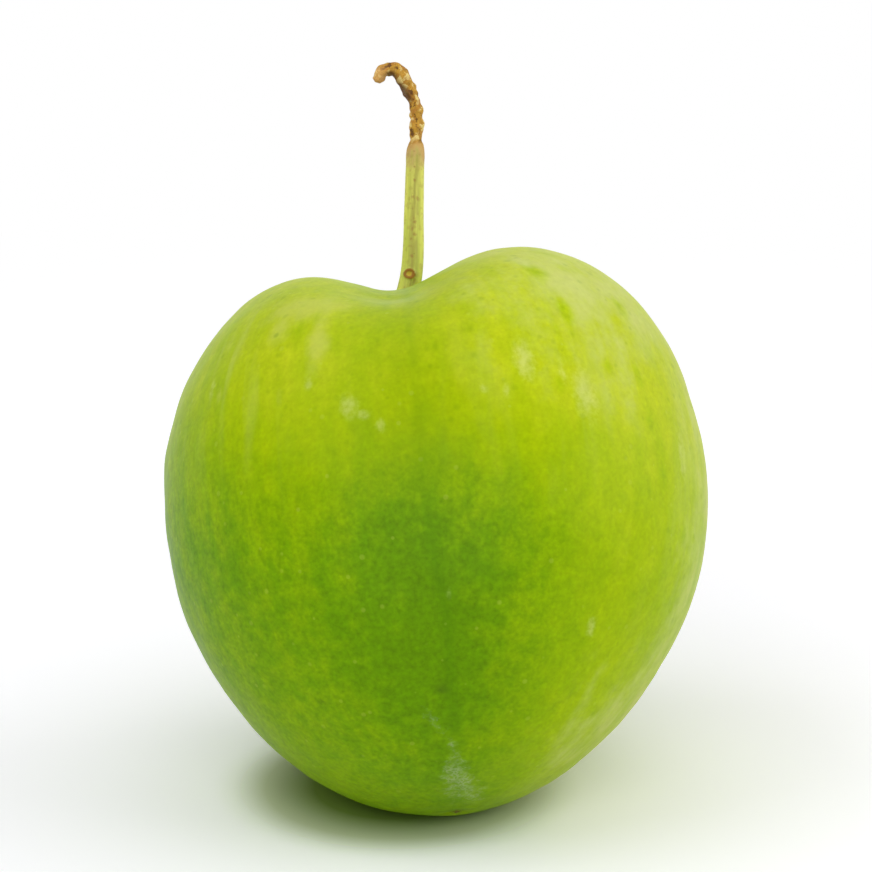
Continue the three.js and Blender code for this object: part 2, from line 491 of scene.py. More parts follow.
# The pale cracked scar beside the suture's lower end, as (polar, around, half its width in
# millimetres, strength), from its upper end down.
SCAR = [
    (2.43, -0.15, 0.5, 0.0),
    (2.52, -0.10, 0.8, 0.4),
    (2.66, 0.02, 0.5, 0.3),
    (2.80, 0.06, 0.8, 0.9),
    (2.90, 0.12, 1.2, 1.0),
    (3.00, 0.3, 1.1, 0.6),
    (3.07, 0.3, 0.8, 0.0),
]


def patches(polar, around, places):
    """The strength of a list of soft oval patches at each point."""
    total = np.zeros(polar.shape)
    for at, turned, width, height, strength in places:
        gap = wrapped(around - turned)
        across = MEAN_RADIUS * np.sin(at) * gap / (width / 2)
        down = MEAN_RADIUS * (polar - at) / (height / 2)
        oval = np.exp(-PATCH_SHARPNESS * (across**2 + down**2))
        total = np.maximum(total, (np.abs(gap) < PATCH_LIMIT) * strength * oval)
    return total


def soft_place(polar, around, place):
    """The strength at each point of one soft place."""
    strength, at, tall, turned, wide = place
    return strength * bell(polar, at, tall) * bell(around, turned, wide)


def scar_share(polar, around):
    """The strength of the pale scar at each point."""
    places, middles, reaches, strengths = zip(*SCAR)
    reach = np.interp(polar, places, reaches)
    aside = MEAN_RADIUS * np.sin(polar) * (around - np.interp(polar, places, middles))
    return np.interp(polar, places, strengths) * bell(aside, 0, reach)


def turned_share(way, turning):
    """How far skin that faces `way` has turned to lime, and so is painted lighter."""
    facing, strength, start, end = turning
    return strength * smooth(start, end, way @ np.array(facing))


def lime_and_light_share(points):
    """How far the skin has turned from deep green to lime: most on top and on the right. This is
    partly ripeness and partly painted light, lighter where the light falls.
    """
    way = points - points.mean(axis=0)
    way /= np.linalg.norm(way, axis=1)[:, None]
    green = 1 - turned_share(way, LIME_AND_LIGHT_TOP) * (1 - turned_share(way, TOP_FADE))
    for turning in (LIME_AND_LIGHT_CROWN, LIME_AND_LIGHT_RIGHT, LIME_AND_LIGHT_LEFT, LIME_AND_LIGHT_BOTTOM):
        green = green * (1 - turned_share(way, turning))
    return 1 - green


def bloom_and_sheen_share(polar, around):
    """How thick the bloom lies: on the right shoulder and side, low down, at the back and left. On
    the right shoulder and side it also stands for a painted sheen.
    """
    edge = BLOOM_AND_SHEEN_EDGE + 0.35 * np.maximum(0, polar - 1.7) ** 2
    side = 0.85 * (smooth(edge, edge + 0.5, around) * (1 - 0.4 * smooth(2.2, 3.0, around)))
    back = 0.45 * smooth(2.3, 3.0, np.abs(around))
    left = 0.15 * bell(around, -1.75, 0.6)
    low = soft_place(polar, around, BLOOM_LOW)
    shoulder = soft_place(polar, around, SHOULDER_BLOOM_AND_SHEEN)
    whole = np.maximum.reduce([side, back, left, shoulder, low])
    return whole * plateau(BLOOM_STARTS, BLOOM_ENDS, polar)


def brushed_share(polar, around):
    """Where the bloom is brushed into fine strokes: on the shoulders, right cheek and back."""
    places = (BRUSHED_LEFT, BRUSHED_RIGHT, BRUSHED_CHEEK)
    strokes = [soft_place(polar, around, place) for place in places]
    back = 0.7 * bell(polar, 1.2, 0.5) * smooth(1.8, 2.6, np.abs(around))
    return np.maximum.reduce([*strokes, back])


# --- Materials ---


class Shader:
    """A node tree, with short calls that add nodes to it and join them up."""

    def __init__(self, tree):
        self.tree = tree
        tree.nodes.clear()

    def node(self, kind, *values, **settings):
        """A new node with these settings, its first sockets fed with the values."""
        node = self.tree.nodes.new(kind)
        for key, setting in settings.items():
            setattr(node, key, setting)
        for socket, value in zip(node.inputs, values):
            self.feed(socket, value)
        return node

    def feed(self, socket, value):
        """Sets a socket to a constant, or joins it to another node's output."""
        if isinstance(value, bpy.types.NodeSocket):
            self.tree.links.new(value, socket)
        elif isinstance(value, tuple) and len(value) == 3 and socket.type == "RGBA":
            socket.default_value = (*value, 1.0)
        else:
            socket.default_value = value

    def math(self, operation, total, *values):
        """The values joined one after another by an operation on two."""
        for value in values:
            total = self.node("ShaderNodeMath", total, value, operation=operation).outputs[0]
        return total

    def add(self, *values):
        """The sum of the values."""
        return self.math("ADD", *values)

    def times(self, *values):
        """The values multiplied together."""
        return self.math("MULTIPLY", *values)

    def around_zero(self, value, reach):
        """A noise of 0 to 1 turned into one of -reach to reach."""
        return self.times(self.math("SUBTRACT", value, 0.5), 2 * reach)

    def span(self, *values):
        """A smooth step of (value, low, high) from 0 to 1, or between two more values if given."""
        settings = {"interpolation_type": "SMOOTHSTEP", "clamp": True}
        return self.node("ShaderNodeMapRange", *values, **settings).outputs[0]

    def mix(self, share, first, second):
        """A colour that is `first` where the share is 0 and `second` where it is 1."""
        node = self.node("ShaderNodeMix", share, data_type="RGBA")
        self.feed(node.inputs[6], first)  # inputs 6 and 7 are its colours
        self.feed(node.inputs[7], second)
        return node.outputs[2]

    def shade(self, colour, factor):
        """The colour, made lighter or darker by a factor."""
        node = self.node("ShaderNodeVectorMath", colour, operation="SCALE")
        self.feed(node.inputs["Scale"], factor)
        return node.outputs[0]

    def multiply(self, first, second):
        """Two colours or vectors, multiplied part by part."""
        return self.node("ShaderNodeVectorMath", first, second, operation="MULTIPLY").outputs[0]

    def distance(self, where, place):
        """The distance between two places."""
        node = self.node("ShaderNodeVectorMath", where, place, operation="DISTANCE")
        return node.outputs["Value"]

    def ramp(self, value, stops):
        """A colour ramp of (place, colour) stops."""
        node = self.node("ShaderNodeValToRGB", value)
        elements = node.color_ramp.elements
        for _ in stops[2:]:  # a new ramp has two
            elements.new(0.5)
        for element, (place, colour) in zip(elements, stops):
            element.position = place
            element.color = (*colour, 1.0)
        return node.outputs[0]

    def value(self, name):
        """The number of this name that the mesh holds at its points."""
        return self.node("ShaderNodeAttribute", attribute_name=name).outputs["Fac"]

    def vector(self, name):
        """The vector of this name that the mesh holds at its points."""
        return self.node("ShaderNodeAttribute", attribute_name=name).outputs["Vector"]

    def texture(self, kind, where, size, **settings):
        """A texture whose features are about `size` across, in the units of `where`."""
        node = self.node(kind, **settings)
        self.feed(node.inputs["Vector"], where)
        self.feed(node.inputs["Scale"], 1 / size)
        return node

    def noise(self, where, size, detail=1.0, roughness=0.5):
        """Noise of 0 to 1 whose swells are about `size` across."""
        node = self.texture("ShaderNodeTexNoise", where, size)
        self.feed(node.inputs["Detail"], detail)
        self.feed(node.inputs["Roughness"], roughness)
        return node.outputs[0]

    def bent(self, where, size, reach):
        """The place, moved by 0 to `reach` along each axis, in smooth swells of `size`."""
        push = self.texture("ShaderNodeTexNoise", where, size).outputs["Color"]
        reaches = (reach, reach, reach)
        node = self.node("ShaderNodeVectorMath", push, reaches, where, operation="MULTIPLY_ADD")
        return node.outputs[0]

    def spots(self, where, pitch, radius, share, edge=0.35):
        """Round spots about `pitch` apart: 1 inside, 0 outside, in a `share` of the places."""
        cells = self.texture("ShaderNodeTexVoronoi", where, pitch, feature="F1")
        chance = self.node("ShaderNodeSeparateColor", cells.outputs["Color"])
        size = self.span(chance.outputs[1], 0.0, 1.0, 0.6 * radius / pitch, 1.2 * radius / pitch)
        reach = self.math("DIVIDE", cells.outputs["Distance"], size)
        there = self.math("LESS_THAN", chance.outputs[0], share)
        return self.times(self.span(reach, 1 - edge, 1 + edge, 1.0, 0.0), there)

    def cracks(self, where, pitch, width):
        """Fine lines between cells about `pitch` across: 1 on a line, 0 off it."""
        cells = self.texture("ShaderNodeTexVoronoi", where, pitch, feature="DISTANCE_TO_EDGE")
        return self.span(cells.outputs["Distance"], 0.3 * width / pitch, width / pitch, 1.0, 0.0)

    def blend(self, share, first, second):
        """The node of a surface that is `first` where the share is 0 and `second` where it is 1."""
        surfaces = (first.outputs[0], second.outputs[0])
        return self.node("ShaderNodeMixShader", share, *surfaces)

    def principled(self, height, **sockets):
        """Ends the tree in a Principled surface. `height` is its bump, in millimetres."""
        shader, bump = self.node("ShaderNodeBsdfPrincipled"), self.node("ShaderNodeBump")
        self.feed(bump.inputs["Height"], height)
        self.feed(bump.inputs["Distance"], MM)
        self.feed(shader.inputs["Normal"], bump.outputs[0])
        for name, value in sockets.items():
            self.feed(shader.inputs[name.replace("_", " ")], value)
        self.end(shader)

    def end(self, surface, kind="ShaderNodeOutputMaterial"):
        """Ends the tree in a surface's node."""
        self.feed(self.node(kind).inputs["Surface"], surface.outputs[0])


def new_material(name):
    """A new material, and the shader that fills it."""
    material = bpy.data.materials.new(name)
    material.use_nodes = True
    return material, Shader(material.node_tree)


SKIN_RAMP = [
    (0.0, (0.155, 0.345, 0.0)),
    (0.15, (0.195, 0.390, 0.0)),
    (0.45, (0.290, 0.475, 0.0)),
    (0.75, (0.425, 0.575, 0.0)),
    (1.0, (0.560, 0.650, 0.008)),
]
# pale bloom, also the colour of the painted sheen on the right shoulder and side
BLOOM_AND_SHEEN_COLOUR = (0.58, 0.67, 0.17)
BLOOM_AND_SHEEN_THICK = (0.66, 0.71, 0.23)
# veils of bloom, also the colour of the painted highlight on the left shoulder
VEIL_AND_HIGHLIGHT_COLOUR = (0.67, 0.70, 0.14)
# pale wax, also the colour of the painted glints
WAX_AND_GLINT_COLOUR = (0.78, 0.80, 0.31)
SCAR_COLOUR = (0.50, 0.60, 0.30)
DEEP_GREEN = (0.10, 0.27, 0.0)
FLECK_GREEN = (0.06, 0.12, 0.005)
PALE_LIME = (0.60, 0.72, 0.08)
RING_BROWN = (0.22, 0.19, 0.03)
POINT_BROWN = (0.16, 0.10, 0.04)


def skin_ground(s, axes, meridian):
    """The skin's colour: cloudy green to lime, streaked and stippled, calmest where lime. Painted
    light and shade are in it too: the lime's painted light, and painted shade in the suture's
    valley.
    """
    # lime holds the skin's ripeness and painted light and shade together
    lime = s.value("lime")
    calm = s.span(lime, 0.15, 0.8, 1.0, 0.42)
    cloud = s.around_zero(s.noise(axes, 7.0, detail=3.0), 0.14)
    mottle = s.around_zero(s.noise(axes, 1.6, detail=3.0, roughness=0.6), 0.34)
    streaks = s.noise(s.bent(meridian, 3.0, reach=1.5), 1.5, detail=3.0, roughness=0.55)
    streaks = s.times(s.around_zero(streaks, 0.4), s.value("streaked"))
    uneven = s.times(s.add(mottle, streaks), calm)
    # greener along the suture: partly its own colour, partly painted shade in its valley
    lime = s.add(lime, cloud, uneven, s.times(s.value("suture"), -0.12))
    grain = s.noise(axes, 0.7, detail=2.0, roughness=0.6)
    rubbed = s.times(s.value("rubbed"), s.span(grain, 0.3, 0.6, 0.4, 1.0))
    colour = s.ramp(s.add(lime, s.times(rubbed, -0.3)), SKIN_RAMP)
    stipple = s.around_zero(s.noise(axes, 0.3, detail=2.0, roughness=0.6), 0.36)
    blotch = s.around_zero(s.noise(axes, 0.8, detail=2.0), 0.18)
    uneven = s.times(s.add(stipple, blotch), calm)
    # darker along the suture: painted shade in its valley
    return s.shade(colour, s.add(1.0, uneven, s.times(s.value("suture"), -0.07)))


def skin_bloom_and_sheen(s, axes, meridian, colour):
    """The thin pale bloom, worn in patches and smeared downwards, and how thick it lies. On the
    right shoulder and side it is also a painted sheen.
    """
    worn = s.around_zero(s.noise(axes, 3.0, detail=4.0, roughness=0.6), 0.9)
    smeared = s.noise(s.bent(meridian, 3.0, reach=1.5), 2.2, detail=3.0, roughness=0.55)
    worn = s.add(worn, s.around_zero(smeared, 0.6))
    wear = s.times(s.spots(axes, pitch=1.9, radius=0.34, share=0.5, edge=0.7), -0.25)
    thick = s.add(s.value("bloom_and_sheen"), worn, wear, s.times(s.value("rubbed"), -0.8))
    thick = s.times(s.span(thick, 0.15, 1.5), s.span(s.value("bloom_and_sheen"), 0.0, 0.3))
    dust = s.around_zero(s.noise(axes, 0.5, detail=3.0), 0.12)
    film = s.shade(s.mix(thick, BLOOM_AND_SHEEN_COLOUR, BLOOM_AND_SHEEN_THICK), s.add(1.0, dust))
    return s.mix(s.times(thick, 0.8), colour, film), thick


def skin_veils_and_highlights(s, axes, meridian, colour):
    """Thin veils of bloom that hang down, and fine brushed strokes. On the left shoulder the veils
    are also a painted highlight.
    """
    ragged = s.around_zero(s.noise(axes, 1.3, detail=4.0, roughness=0.6), 0.5)
    veils_and_highlights = s.span(s.add(s.value("veils_and_highlights"), ragged), 0.1, 1.0)
    veils_and_highlights = s.times(veils_and_highlights, s.span(s.value("veils_and_highlights"), 0.02, 0.25))
    # the veils, which on the left shoulder are a painted highlight as well as bloom
    colour = s.mix(s.times(veils_and_highlights, 0.5), colour, VEIL_AND_HIGHLIGHT_COLOUR)
    strokes = s.noise(s.bent(meridian, 2.5, reach=1.6), 1.9, detail=2.0)
    strokes = s.times(s.span(strokes, 0.5, 0.72), s.value("brushed"))
    return s.mix(s.times(strokes, 0.26), colour, BLOOM_AND_SHEEN_COLOUR)


def skin_dots(s, axes, colour):
    """Pale lenticels, dark pores and a few darker specks, and the height of the lenticels."""
    lenticels = s.spots(axes, pitch=1.2, radius=0.15, share=0.7)
    colour = s.mix(s.times(lenticels, 0.2), colour, PALE_LIME)
    pores = s.spots(axes, pitch=0.95, radius=0.17, share=0.6, edge=0.7)
    colour = s.mix(s.times(pores, 0.18), colour, DEEP_GREEN)
    specks = s.spots(axes, pitch=2.9, radius=0.17, share=0.3, edge=0.6)
    return s.mix(s.times(specks, 0.35), colour, DEEP_GREEN), s.times(lenticels, 0.008)


def skin_dabs_and_glints(s, axes, colour):
    """Dabs of wax with soft worn edges, partly painted glints, and how thick they lie."""
    grain = s.noise(axes, 0.6, detail=3.0, roughness=0.6)
    # dabs of wax, and along the lit shoulders painted glints
    dabs_and_glints = s.span(s.add(s.value("wax_and_glints"), s.around_zero(grain, 0.7)), 0.0, 1.2)
    dabs_and_glints = s.times(dabs_and_glints, s.span(s.value("wax_and_glints"), 0.02, 0.35))
    return s.mix(s.times(dabs_and_glints, 0.45), colour, WAX_AND_GLINT_COLOUR), dabs_and_glints


def skin_scar(s, axes, colour):
    """A faint pale scar with a web of fine cracks in it, and how strong it is."""
    ragged = s.around_zero(s.noise(axes, 1.0, detail=4.0, roughness=0.7), 1.3)
    scar = s.span(s.add(s.value("scar"), ragged), 0.2, 1.3)
    scar = s.times(scar, s.span(s.value("scar"), 0.03, 0.3))
    web = s.cracks(s.bent(axes, 0.45, reach=0.9), pitch=0.55, width=0.1)
    scar = s.times(scar, s.add(s.times(web, 0.42), 0.2))
    return s.mix(scar, colour, SCAR_COLOUR), scar


def skin_ends(s, axes, colour):
    """The suture's dark line, the flecks, the brown ring round the stem and the flower's point."""
    colour = s.mix(s.times(s.value("line"), 0.4), colour, DEEP_GREEN)
    colour = s.mix(s.times(s.value("flecks"), 0.6), colour, FLECK_GREEN)
    broken = s.span(s.noise(axes, 0.4, detail=3.0, roughness=0.6), 0.3, 0.65, 0.3, 1.0)
    colour = s.mix(s.times(s.value("stalk_ring"), broken), colour, RING_BROWN)
    return s.mix(s.value("flower_point"), colour, POINT_BROWN)


def skin_material():
    """Waxy green skin, with pores and specks, a rubbed bloom, dabs of wax, and a pale scar. Painted
    sheen, glints and highlights are in the bloom and wax, and painted light and shade in the lime.
    """
    material, s = new_material("green_skin")
    axes, meridian = s.vector("fruit_axes"), s.vector("meridian")
    colour = skin_ground(s, axes, meridian)
    colour, bloom_and_sheen = skin_bloom_and_sheen(s, axes, meridian, colour)
    colour = skin_veils_and_highlights(s, axes, meridian, colour)
    colour, raised = skin_dots(s, axes, colour)
    colour, dabs_and_glints = skin_dabs_and_glints(s, axes, colour)
    colour, scar = skin_scar(s, axes, colour)
    roughness = s.add(0.4, s.times(bloom_and_sheen, 0.12), s.times(dabs_and_glints, 0.1), s.times(scar, 0.25))
    dimples = s.times(s.noise(axes, 0.5, detail=2.0, roughness=0.55), 0.012)
    s.principled(
        s.add(dimples, raised, s.times(scar, 0.03), s.times(dabs_and_glints, 0.006)),
        Base_Color=skin_ends(s, axes, colour),
        Roughness=roughness,
        Subsurface_Weight=0.18,
        Subsurface_Radius=(0.6, 1.0, 0.12),
        Subsurface_Scale=0.0014,
        Specular_IOR_Level=0.07,
    )
    return material


STEM_RAMP = [
    (0.0, (0.80, 0.84, 0.12)),
    (0.53, (0.78, 0.78, 0.14)),
    (0.575, (0.66, 0.46, 0.16)),
    (0.605, (0.58, 0.34, 0.09)),
    (0.63, (0.58, 0.31, 0.03)),
]
STEM_GREEN = (0.46, 0.58, 0.06)
STEM_OLIVE = (0.42, 0.38, 0.07)
STEM_TAN = (0.34, 0.19, 0.04)
# cream of the knobs, also standing for their painted highlights
STEM_CREAM_AND_HIGHLIGHT = (0.90, 0.70, 0.25)
STEM_BROWN = (0.34, 0.16, 0.02)
STEM_RUST = (0.42, 0.14, 0.015)
STEM_DARK = (0.09, 0.028, 0.002)
STEM_TIP = (0.76, 0.42, 0.14)
STEM_FOOT = (0.30, 0.24, 0.04)
EYE_RIM = (0.33, 0.14, 0.004)
EYE_GOLD = (0.60, 0.42, 0.02)


def fresh_bark(s, axes, fibre, fresh, colour):
    """Adds to the fresh part its fibres and its olive front with tan specks. Gives its height."""
    middle = s.times(s.value("middle"), fresh)
    fibres = s.noise(fibre, 0.3, detail=3.0, roughness=0.6)
    green = s.times(s.span(s.noise(fibre, 0.6, detail=2.0), 0.45, 0.65), fresh)
    colour = s.mix(s.times(green, 0.55), colour, STEM_GREEN)
    colour = s.shade(colour, s.add(1.0, s.times(s.around_zero(fibres, 0.35), fresh)))
    colour = s.mix(s.times(s.span(fibres, 0.35, 0.6, 0.25, 1.0), middle), colour, STEM_OLIVE)
    ragged = s.bent(axes, 0.3, reach=0.3)
    small = s.spots(ragged, pitch=0.38, radius=0.14, share=0.8, edge=0.6)
    large = s.spots(ragged, pitch=0.9, radius=0.2, share=0.6, edge=0.6)
    there = s.math("MAXIMUM", s.value("middle"), 0.35)
    tan = s.times(s.math("MAXIMUM", small, large), there, fresh, 0.75)
    return s.mix(tan, colour, STEM_TAN), s.times(fibres, 0.03)


def dried_bark(s, axes, dry, colour):
    """Adds to the dried part its brown mottle, cream knobs, rusty patches and dark spots, with
    painted highlights on the knobs and painted shade in the hollows and under the hook.
    """
    raised = s.value("raised")
    mottle = s.span(s.noise(axes, 0.6, detail=3.0, roughness=0.6), 0.4, 0.6)
    colour = s.mix(s.times(mottle, dry, 0.5), colour, STEM_BROWN)
    grain = s.noise(s.bent(axes, 0.6, reach=0.3), 0.6, detail=3.0, roughness=0.6)
    # cream knobs: partly their colour, partly painted highlights where the bark stands out
    knobs = s.span(s.add(grain, s.times(raised, 0.07)), 0.54, 0.61)
    colour = s.mix(s.times(knobs, dry, 0.9), colour, STEM_CREAM_AND_HIGHLIGHT)
    rust = s.times(s.span(s.noise(axes, 0.5, detail=2.0, roughness=0.6), 0.5, 0.65), dry)
    colour = s.mix(s.times(rust, 0.5), colour, STEM_RUST)
    # dark spots, partly painted shade in the hollows; the hook's inside is painted as shade too
    dark_spots_and_shade = s.span(s.add(grain, s.times(raised, 0.1)), 0.45, 0.36)
    dark = s.math("MINIMUM", s.add(dark_spots_and_shade, s.value("hook_inside")), 0.9)
    return s.mix(s.times(dark, dry), colour, STEM_DARK)


def stem_material():
    """Lime bark with an olive middle, dried towards the tip to knobbly golden brown, with painted
    highlights and painted shade on the dried part.
    """
    material, s = new_material("lime_bark")
    axes, fibre, along = s.vector("stem_axes"), s.vector("fibre"), s.value("along")
    ragged = s.around_zero(s.noise(axes, 1.1, detail=3.0, roughness=0.6), 0.05)
    stage = s.add(along, s.times(ragged, s.span(along, 0.35, 0.6)))
    fresh = s.span(stage, 0.565, 0.6, 1.0, 0.0)
    dry = s.span(stage, 0.6, 0.64)
    colour, fibres = fresh_bark(s, axes, fibre, fresh, s.ramp(stage, STEM_RAMP))
    colour = dried_bark(s, axes, dry, colour)
    colour = s.mix(s.times(s.span(along, 0.93, 0.98), 0.6), colour, STEM_TIP)
    specks = s.spots(axes, pitch=0.9, radius=0.08, share=0.4)
    colour = s.mix(s.times(specks, 0.5), colour, STEM_DARK)
    colour = s.mix(s.value("eye_ring"), colour, EYE_RIM)
    colour = s.mix(s.value("eye_middle"), colour, EYE_GOLD)
    colour = s.mix(s.times(s.value("foot"), 0.5), colour, STEM_FOOT)
    roughness = s.span(stage, 0.4, 0.7, 0.5, 0.65)
    height = s.add(fibres, s.times(s.noise(axes, 0.25, detail=3.0), 0.03))
    s.principled(height, Base_Color=colour, Roughness=roughness, Specular_IOR_Level=0.3)
    return material


# --- The fruit ---

STREAK_SQUEEZE = 0.18  # under 1 draws noise out into streaks that run down the skin


def skin_grid():
    """The angles of the skin's points, and where its rings and columns lie on its map."""
    column = np.linspace(0, 1, SKIN_SIDES + 1)
    row = np.linspace(0, 1, SKIN_RINGS + 2)
    turned = 2 * math.pi * column - SUTURE_CROWDING * np.sin(2 * math.pi * column)
    angle = math.pi * (row - POLE_CROWDING * np.sin(2 * math.pi * row) / (2 * math.pi))
    polar, around = np.meshgrid(angle[1:-1], turned[:-1], indexing="ij")
    polar = np.append(polar.ravel(), [POLE_GAP, math.pi - POLE_GAP])
    around = np.append(around.ravel(), [0.0, 0.0])
    return polar, wrapped(around), 1 - angle[1:-1] / math.pi, column


def skin_marks(polar, around, points):
    """The strength of each mark at each point of the skin."""
    s = np.sin(polar)
    out = MEAN_RADIUS * s
    aside = suture_offset(polar, around)
    front = smooth(*FRONT, np.cos(around))
    line = bell(aside, 0, LINE_REACH) * front * (LINE_FAINTEST + swell(polar, LINE_LOW_DOWN))
    return {
        # lime: ripeness and painted light, lighter where the light falls
        "lime": lime_and_light_share(points) * (1 - swell(polar, CAVITY_GREEN_AND_SHADE)),
        # bloom, and on the right shoulder and side a painted sheen as well
        "bloom_and_sheen": bloom_and_sheen_share(polar, around),
        # dabs of wax, those along the lit shoulders also painted glints
        "wax_and_glints": patches(polar, around, WAX_DABS_AND_GLINTS),
        "brushed": brushed_share(polar, around),
        "rubbed": patches(polar, around, RUBBED),
        # veils of bloom; those on the left shoulder are also a painted highlight
        "veils_and_highlights": patches(polar, around, VEILS_AND_HIGHLIGHTS),
        "flecks": patches(polar, around, FLECKS),
        "scar": scar_share(polar, around),
        # suture: where the suture's valley is painted greener and darker, as shade
        "suture": bell(aside, 0, SUTURE_SHADE_REACH) * front,
        "line": line,
        "stalk_ring": bell(out, *STALK_RING) * (polar < 1),
        "flower_point": bell(out, 0, FLOWER_POINT_REACH) * (polar > 2),
        "streaked": smooth(0.12, 0.6, s) * (1 - 0.6 * smooth(1.4, 2.2, polar)),
    }


def make_fruit():
    """The whole fruit, closed all round, with its flat spot on the ground."""
    polar, around, rows, columns = skin_grid()
    axes = skin_points(polar, around, relief(polar, around))
    points = on_ground(at_rest(axes))
    meridian = np.stack([np.sin(around), np.cos(around), STREAK_SQUEEZE * polar], axis=-1)
    return make_piece(
        "plum_skin",
        points,
        tube_faces(SKIN_RINGS, SKIN_SIDES),
        tube_map(SKIN_RINGS, SKIN_SIDES, rows, columns),
        skin_marks(polar, around, points),
        {"fruit_axes": axes, "meridian": meridian * MEAN_RADIUS},
        skin_material(),
    )


# --- The stem ---

FIBRE_SQUEEZE = 0.13  # under 1 draws noise out into fibres that run up the stem
MAP_MARGIN = 0.02  # share of the map's height beyond each end ring


def between(first, second, start, end, at):
    """The point that moves from `first` at `start` to `second` at `end`."""
    return ((end - at) * first + (at - start) * second) / (end - start)


def route_points(knots, steps):
    """Evenly spaced points of the centripetal Catmull-Rom curve through knots, and its length."""
    p = np.array(knots, float)
    p = np.vstack([2 * p[0] - p[1], p, 2 * p[-1] - p[-2]])
    t = np.append(0, np.cumsum(np.linalg.norm(np.diff(p, axis=0), axis=1) ** 0.5))
    fine = []
    for i in range(1, len(p) - 2):
        at = np.linspace(t[i], t[i + 1], ROUTE_DETAIL)[:, None]
        a, b, c = (between(p[k], p[k + 1], t[k], t[k + 1], at) for k in (i - 1, i, i + 1))
        d = between(a, b, t[i - 1], t[i + 1], at)
        e = between(b, c, t[i], t[i + 2], at)
        fine.append(between(d, e, t[i], t[i + 1], at))
    fine = np.vstack(fine)
    along = np.append(0, np.cumsum(np.linalg.norm(np.diff(fine, axis=0), axis=1)))
    even = np.linspace(0, along[-1], steps)
    return np.stack([np.interp(even, along, fine[:, k]) for k in range(3)], axis=-1), along[-1]


def stem_route():
    """Points of the stem's route, from where its foot starts in the flesh, and its length."""
    foot = np.array([0, 0, SEAT_HEIGHT - STEM_SINK])
    knots = np.array(STEM_ROUTE) + [0, 0, STEM_SINK + JOINT_GAP]
    knots = np.vstack([[STEM_ROUTE[0][0], 0, 0], knots])
    return route_points(knots + foot, STEM_STEPS)


def carried_frames(route):
    """The way at each point of a route, the front, carried along from -Y, and the side."""
    ways = np.gradient(route, axis=0)
    ways /= np.linalg.norm(ways, axis=1)[:, None]
    front = np.array([0.0, -1.0, 0.0])
    fronts = []
    for way in ways:
        front = front - way * (front @ way)
        front = front / np.linalg.norm(front)
        fronts.append(front)
    fronts = np.array(fronts)
    return ways, fronts, np.cross(ways, fronts)


def stem_ribs(along, turned):
    """The fresh shaft's low ribs, as a share of its radius."""
    return 0.045 * np.cos(5 * turned + 0.10 * along) + 0.03 * np.cos(3 * turned + 1.0)


def stem_shrivels(along, length, turned):
    """The dried part's twisted folds, knobs and rings, as a share of its radius."""
    twist = SHRIVEL_TWIST * (along - DRIED[0] * length)
    folds = 0.08 * np.cos(2 * turned + twist) + 0.06 * np.cos(5 * turned - 0.7 * twist + 1.0)
    knobs = 0.11 * np.sin(6.1 * along + 2.1 * np.sin(turned + 0.5)) * np.cos(2 * turned - twist)
    rings = 0.06 * np.sin(5.3 * along + 1.0 + 0.8 * np.cos(turned))
    return folds + knobs + rings


def stem_radius(along, length, turned):
    """Radius of the stem and how far each point stands out: it is knobbly where it dried."""
    share = along / length
    flare = (FOOT_RADIUS - SHAFT_RADII[0]) * np.exp(-along / FLARE_HEIGHT)
    fresh = SHAFT_RADII[0] + (SHAFT_RADII[1] - SHAFT_RADII[0]) * share / DRIED[0]
    fresh = fresh * (1 + stem_ribs(along, turned) + swell(share, DRIED_LIP))
    uneven = stem_shrivels(along, length, turned)
    shrunk = np.interp(share, (DRIED[0], 1), DRIED_RADII) * (1 + uneven)
    dryness = smooth(*DRIED, share)
    tip = swell(share, TIP_LIP) - swell(share, TIP_ROUNDING)
    radius = (flare + fresh * (1 - dryness) + shrunk * dryness) * (1 + tip)
    return radius + swell(along, FOOT_SWELL), uneven / UNEVENNESS


def eye_gap(along, turned, radius):
    """Distance over the bark from the middle of the bud scar, in millimetres."""
    aside = radius * np.sin(turned) - EYE_ASIDE
    return np.hypot(aside, along - EYE_HEIGHT) + OUT_OF_REACH * (np.cos(turned) < 0)


def hook_inside(around, route, share):
    """1 on the side of the stem that faces in under its hook, and 0 elsewhere."""
    middle = route[share[:, 0] > HOOK_FROM].mean(axis=0) - [0, 0, HOOK_DROP]
    inward = middle - route
    inward /= np.linalg.norm(inward, axis=1)[:, None]
    facing = np.einsum("ijk,ik->ij", around, inward)
    return smooth(0.35, 0.8, facing) * smooth(HOOK_FROM, HOOK_FROM + 0.06, share)


def bark_relief(skin, share, inside):
    """How far the bark stands out or in, in millimetres: most where it dried."""
    dryness = smooth(*DRIED, share)
    rough = waves(skin, *BARK_WAVES) * (0.3 + 0.9 * dryness) + waves(skin, *BARK_GRAIN) * dryness
    return rough + inside * swell(share, HOOK_FULLNESS)


def with_ends(values):
    """The values of all rings in a row, then one for the middle of each end."""
    row = values.ravel()
    return np.append(row, [row[0], row[-1]])


def stem_marks(share, turned, raised, inside, gap):
    """The place along the stem and the strength of each mark, at each of its points."""
    return {
        "along": share,
        "middle": bell(wrapped(turned), 0.1, 0.6),
        "raised": raised,
        # inside of the hook, where shade is also painted
        "hook_inside": inside,
        "eye_ring": plateau(EYE_MIDDLE_EDGE, EYE_RING_EDGE, gap),
        "eye_middle": 1 - smooth(*EYE_MIDDLE_EDGE, gap),
        "foot": 1 - smooth(0.03, 0.1, share),
    }


